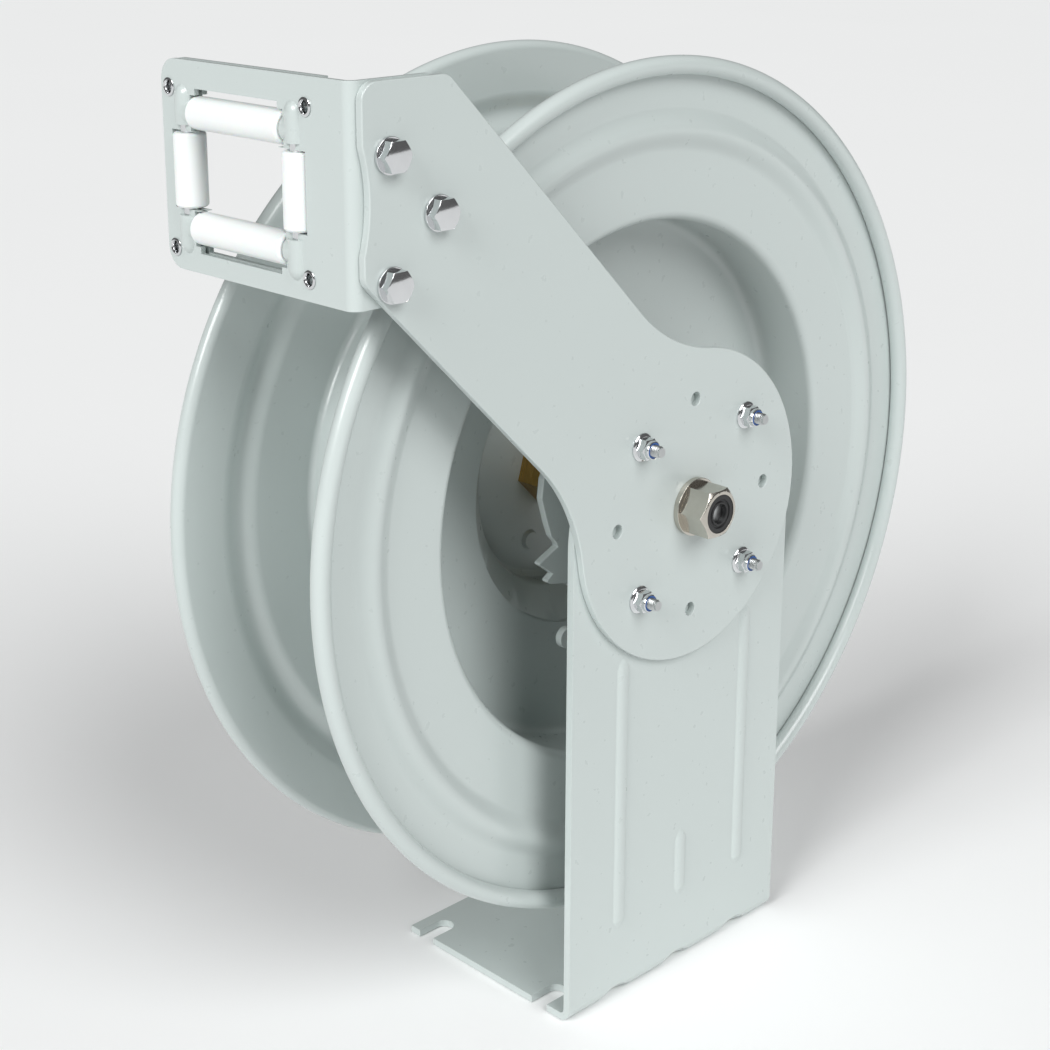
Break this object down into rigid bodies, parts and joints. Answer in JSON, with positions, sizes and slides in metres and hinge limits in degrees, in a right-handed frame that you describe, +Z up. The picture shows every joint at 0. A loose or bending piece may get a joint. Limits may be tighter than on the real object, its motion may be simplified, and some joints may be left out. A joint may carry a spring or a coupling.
{
  "type": "spring rewind hose reel",
  "caption": "Spring-rewind hose reel: an open drum on a fixed axle at the top of a bent-plate pedestal, with a guide arm and a roller hose guide.",
  "frame": {"origin": "centre of the four foot slots, on the underside of the base", "axes": "+X along the axle towards the post's outer side, -Y towards the hose guide's front, +Z up"},
  "size_m": [0.1865, 0.445, 0.494],
  "materials": {
    "paint": "gloss light grey powder coat",
    "zinc": "zinc plated steel",
    "chrome": "bright plated steel",
    "nickel": "bright nickel plated steel",
    "white_nylon": "satin white nylon",
    "black_nylon": "satin black nylon",
    "blue_nylon": "satin blue nylon",
    "brass": "machined brass",
    "spring_steel": "blued spring steel",
    "seal_rubber": "black nitrile rubber"
  },
  "bodies": {
    "pedestal_frame": {"pedestal": "paint", "guide_arm": "paint", "clamp_studs": "zinc", "clamp_nuts": "chrome", "clamp_nut_inserts": "blue_nylon", "main_shaft": "zinc", "shaft_washer": "nickel", "shaft_nut": "nickel", "shaft_nut_insert": "black_nylon", "guide_bracket": "paint", "guide_back_plate": "paint", "guide_rivets": "chrome", "upright_pins": "chrome", "level_pins": "chrome", "bracket_bolts": "chrome", "bracket_washers": "chrome", "bracket_nuts": "zinc", "spring_arbor": "spring_steel", "arbor_key": "zinc", "power_spring": "spring_steel", "thrust_washer": "black_nylon", "shaft_clip": "spring_steel", "inlet_fitting": "brass", "pawl_pivot": "zinc", "pawl_clip": "spring_steel", "pawl_stop": "zinc", "spring_anchor": "zinc", "pawl_spring": "spring_steel"},
    "drum": {"post_side_disc": "paint", "far_side_disc": "paint", "hub_dish": "paint", "swivel_body": "brass", "swivel_seals": "seal_rubber", "ratchet_wheel": "paint", "ratchet_screws": "zinc", "riser_tube": "brass", "outlet_elbow": "brass", "spring_case": "paint", "case_cover": "paint", "cover_screws": "zinc", "case_bolts": "paint", "case_nuts": "zinc", "rear_bush": "brass"},
    "pawl_lever": {"pawl": "paint", "pawl_pin": "zinc"},
    "top_roller_body": {"top_roller": "white_nylon"},
    "bottom_roller_body": {"bottom_roller": "white_nylon"},
    "near_roller_body": {"near_roller": "white_nylon"},
    "far_roller_body": {"far_roller": "white_nylon"}
  },
  "joints": [
    {"name": "drum_spin", "type": "hinge", "parent": "pedestal_frame", "child": "drum", "pos_m": [0, 0, 0.264], "axis": [1, 0, 0], "range_deg": [0, 5400], "stiffness_Nm_per_rad": 0.13},
    {"name": "top_roller_spin", "type": "hinge", "parent": "pedestal_frame", "child": "top_roller_body", "pos_m": [-0.0113, -0.2115, 0.47085], "axis": [1, 0, 0], "continuous": true},
    {"name": "bottom_roller_spin", "type": "hinge", "parent": "pedestal_frame", "child": "bottom_roller_body", "pos_m": [-0.0113, -0.2115, 0.41915], "axis": [1, 0, 0], "continuous": true},
    {"name": "near_roller_spin", "type": "hinge", "parent": "pedestal_frame", "child": "near_roller_body", "pos_m": [0.02795, -0.2115, 0.445], "axis": [0, 0, 1], "continuous": true},
    {"name": "far_roller_spin", "type": "hinge", "parent": "pedestal_frame", "child": "far_roller_body", "pos_m": [-0.05055, -0.2115, 0.445], "axis": [0, 0, 1], "continuous": true},
    {"name": "pawl_swing", "type": "hinge", "parent": "pedestal_frame", "child": "pawl_lever", "pos_m": [0.0247, -0.012, 0.176], "axis": [1, 0, 0], "range_deg": [0, 30], "stiffness_Nm_per_rad": 0.05, "springref_deg": -28.65, "deforming": ["pawl_spring"]}
  ]
}
